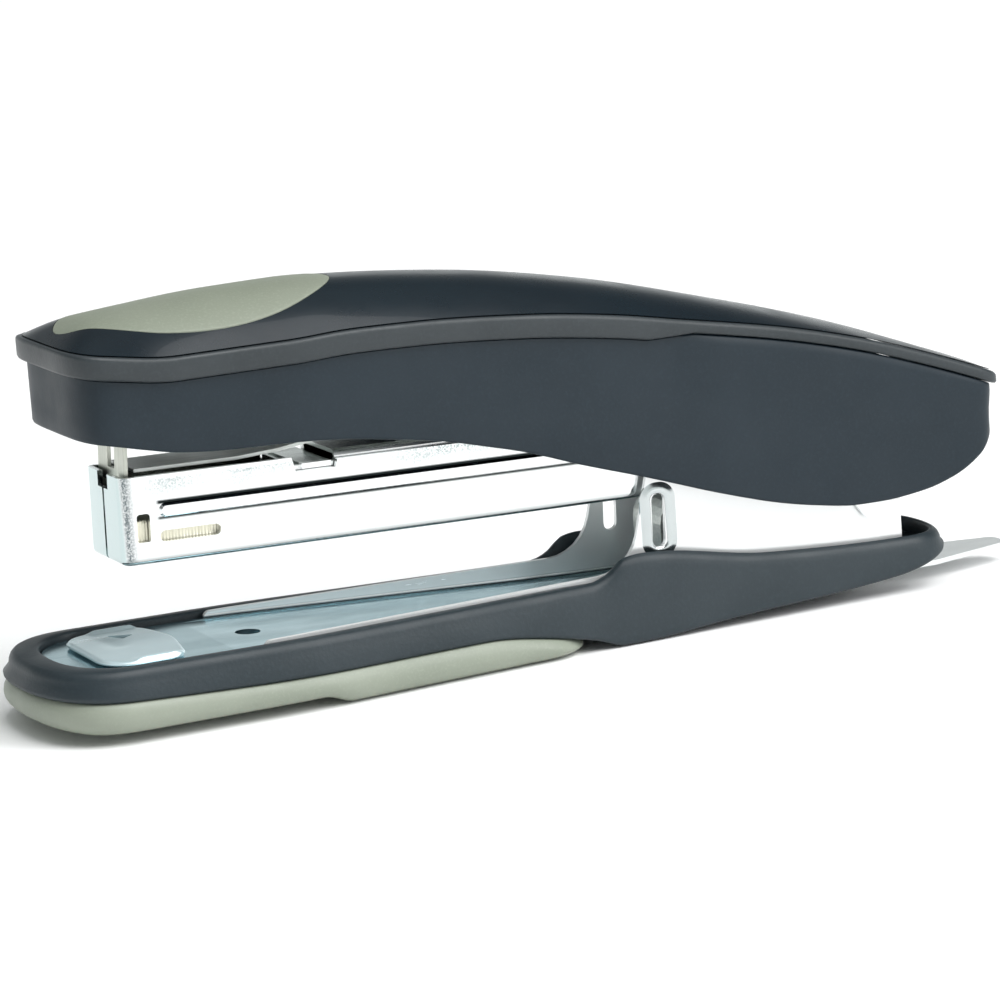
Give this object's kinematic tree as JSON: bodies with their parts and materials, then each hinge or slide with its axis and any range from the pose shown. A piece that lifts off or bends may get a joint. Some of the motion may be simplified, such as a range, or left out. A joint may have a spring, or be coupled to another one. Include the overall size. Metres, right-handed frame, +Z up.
{
  "type": "stapler",
  "caption": "Desk stapler with a padded sloping handle, a chromed staple magazine, a turning anvil in a rubber-soled base and a staple-lifting tongue at the tail.",
  "frame": {"origin": "middle of the footprint's bounding box, on the surface the stapler stands on", "axes": "+X from the nose to the tail, +Y to the side that is on the left when looking from the nose to the tail, +Z up"},
  "size_m": [0.1719, 0.0384, 0.0632],
  "materials": {
    "charcoal_plastic": "fine-grained matte, charcoal",
    "satin_plastic": "satin, blue-black",
    "grip_rubber": "soft-touch, grey-beige",
    "sole_rubber": "satin, pale greenish beige",
    "plated_steel": "bright zinc or nickel plate, pale bluish",
    "chrome": "bright chrome plate",
    "spring_steel": "plain grey spring steel",
    "staple_wire": "bright wire with a light lacquer",
    "pusher_plastic": "plain black"
  },
  "bodies": {
    "base": {"base_shell": "charcoal_plastic", "base_sole": "sole_rubber", "bracket": "plated_steel", "pivot_pin": "chrome", "deck_rivet_front": "chrome", "deck_rivet_rear": "chrome", "remover_rivet": "chrome", "staple_remover": "chrome", "return_spring": "spring_steel"},
    "magazine": {"magazine_channel": "chrome", "magazine_cover": "chrome", "staple_rail": "chrome", "staple_strip": "staple_wire", "guide_rod": "spring_steel", "rear_stop": "pusher_plastic", "leaf_spring": "spring_steel", "pusher_spring": "spring_steel"},
    "pusher": {"pusher": "pusher_plastic"},
    "handle": {"handle_cover": "satin_plastic", "grip_inlay": "grip_rubber", "handle_band": "charcoal_plastic", "handle_skirt": "charcoal_plastic", "handle_frame": "chrome", "driver_blade": "spring_steel", "driver_rivet_front": "chrome", "driver_rivet_rear": "chrome"},
    "anvil_lifter": {"anvil_stud": "spring_steel"},
    "anvil": {"anvil_plate": "plated_steel"}
  },
  "joints": [
    {"name": "magazine_hinge", "type": "hinge", "parent": "base", "child": "magazine", "pos_m": [0.056, 0, 0.029], "axis": [0, 1, 0], "range_deg": [-5.6, 0], "stiffness_Nm_per_rad": 0.6, "springref_deg": 34.38, "deforming": ["return_spring"]},
    {"name": "handle_hinge", "type": "hinge", "parent": "magazine", "child": "handle", "pos_m": [0.056, 0, 0.029], "axis": [0, 1, 0], "range_deg": [-5.2, 40], "stiffness_Nm_per_rad": 1.2, "springref_deg": 2.01},
    {"name": "pusher_slide", "type": "slide", "parent": "magazine", "child": "pusher", "axis": [0.9996, 0, -0.0279], "range_m": [0, 0.034], "stiffness_N_per_m": 40, "springref_m": -0.02, "deforming": ["pusher_spring"]},
    {"name": "anvil_lift", "type": "slide", "parent": "base", "child": "anvil_lifter", "axis": [0, 0, 1], "range_m": [0, 0.0015], "stiffness_N_per_m": 200, "springref_m": -0.002},
    {"name": "anvil_turn", "type": "hinge", "parent": "anvil_lifter", "child": "anvil", "pos_m": [-0.0674, 0, 0.0109], "axis": [0, 0, 1], "range_deg": [0, 180]}
  ]
}
